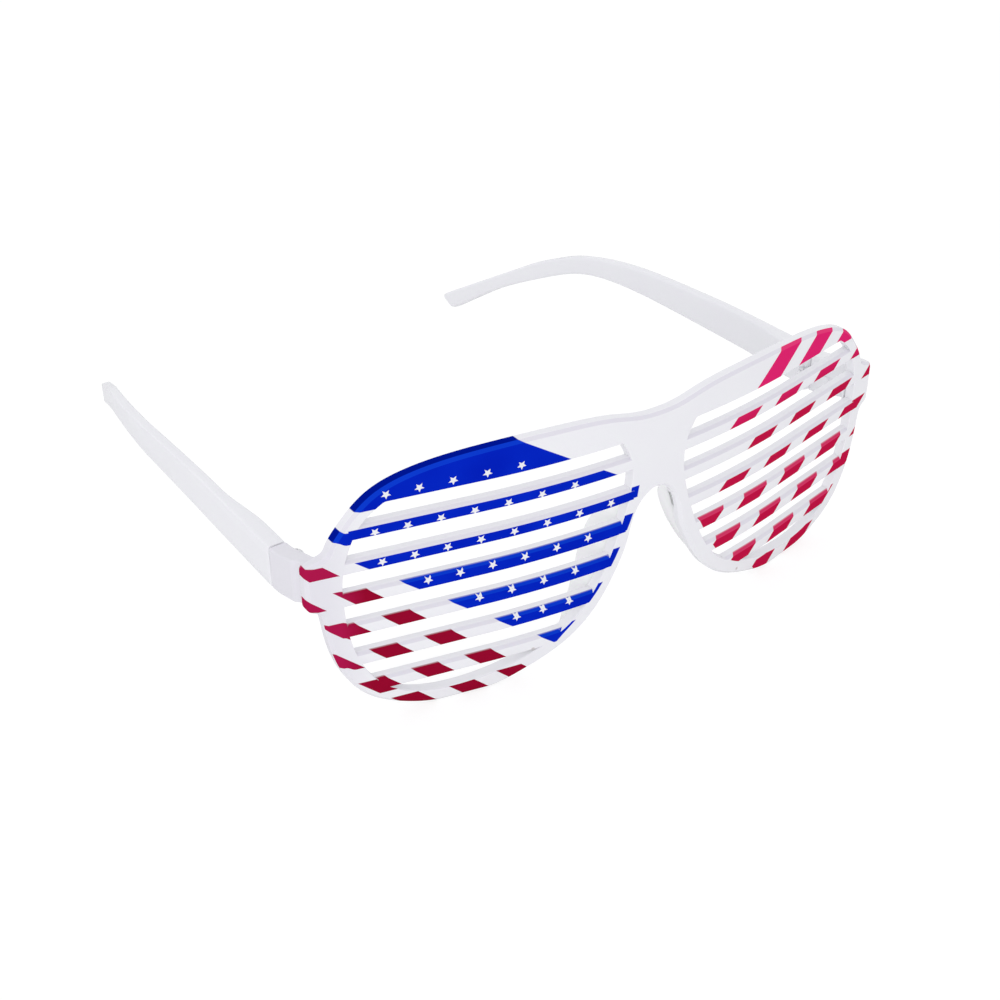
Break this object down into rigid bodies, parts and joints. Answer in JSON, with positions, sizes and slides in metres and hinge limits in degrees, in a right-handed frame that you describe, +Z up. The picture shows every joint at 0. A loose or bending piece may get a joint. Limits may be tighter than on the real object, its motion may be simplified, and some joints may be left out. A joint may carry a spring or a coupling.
{
  "type": "slatted novelty glasses",
  "caption": "Slatted novelty glasses: one-piece plastic front with a slatted grille in each eye, hooked temples folding on small hinges with steel screws.",
  "frame": {"origin": "middle of the open glasses' footprint, on the surface they stand on", "axes": "+Z up, the front faces -Y, +X across the face towards the wearer's left, temples run to +Y"},
  "size_m": [0.1444, 0.162, 0.0551],
  "materials": {
    "white_plastic": "glossy moulded",
    "screw_steel": "bright"
  },
  "bodies": {
    "front": {"front_frame": "white_plastic", "left_front_hinge_leaf": "white_plastic", "right_front_hinge_leaf": "white_plastic", "left_hinge_screw": "screw_steel", "right_hinge_screw": "screw_steel"},
    "left_side": {"left_temple": "white_plastic", "left_temple_hinge_leaf": "white_plastic"},
    "right_side": {"right_temple": "white_plastic", "right_temple_hinge_leaf": "white_plastic"}
  },
  "joints": [
    {"name": "left_fold", "type": "hinge", "parent": "front", "child": "left_side", "pos_m": [0.06665, -0.0545, 0.0288], "axis": [0, 0, 1], "range_deg": [0, 87]},
    {"name": "right_fold", "type": "hinge", "parent": "front", "child": "right_side", "pos_m": [-0.06665, -0.0545, 0.0288], "axis": [0, 0, -1], "range_deg": [0, 80]}
  ]
}
